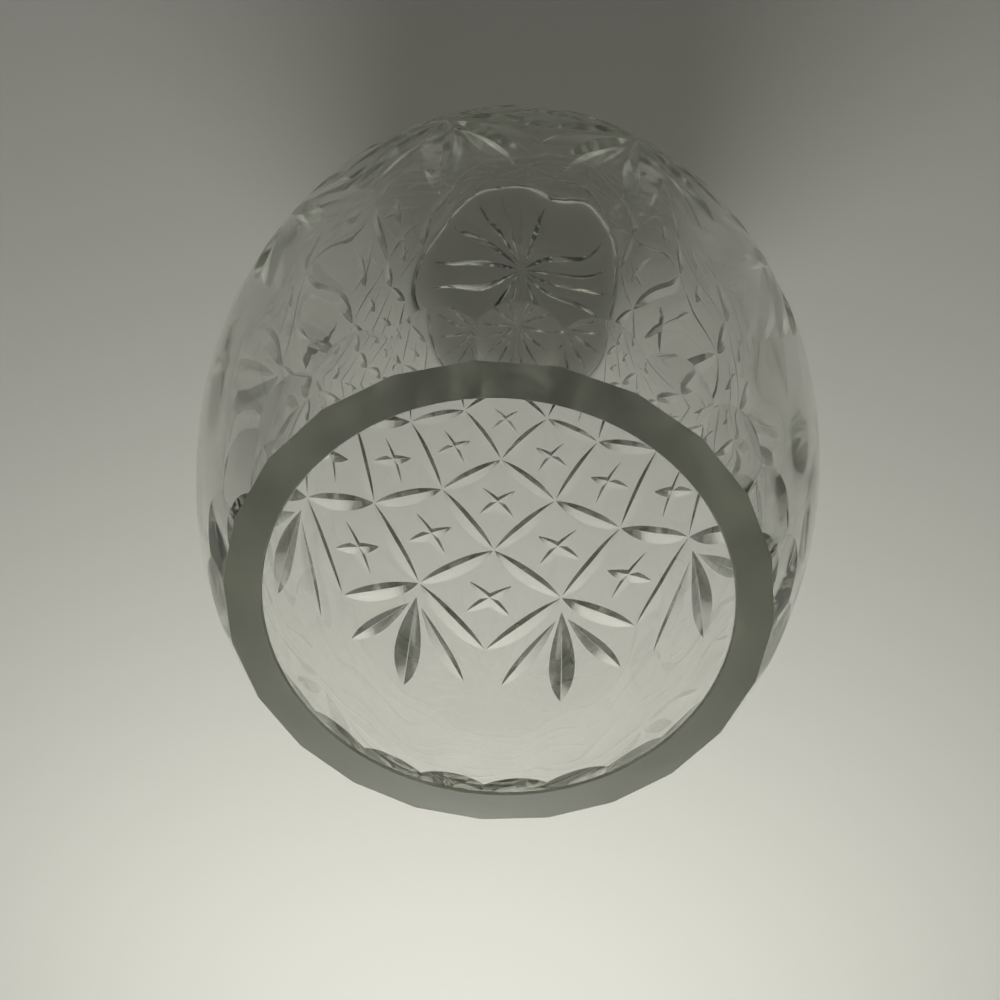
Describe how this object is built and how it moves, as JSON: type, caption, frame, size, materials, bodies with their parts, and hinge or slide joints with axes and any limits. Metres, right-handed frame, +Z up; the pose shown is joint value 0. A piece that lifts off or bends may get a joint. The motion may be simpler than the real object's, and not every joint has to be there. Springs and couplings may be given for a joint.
{
  "type": "cut crystal vase",
  "caption": "Barrel-shaped clear glass vase with a fluted rim, a plain shoulder, fan cuts over a diamond lattice, and a star-cut base; holds flowers and stands on a table.",
  "frame": {"origin": "centre of the resting face under the base", "axes": "+Z up the vase's axis, out of its mouth; +X along one ray of the base star and through one lattice point"},
  "size_m": [0.142, 0.142, 0.208],
  "materials": {
    "crystal": "polished clear lead crystal"
  },
  "bodies": {
    "root": {"star_base": "crystal", "diamond_wall": "crystal", "fan_wall": "crystal", "plain_shoulder": "crystal", "fluted_rim": "crystal"}
  },
  "joints": []
}
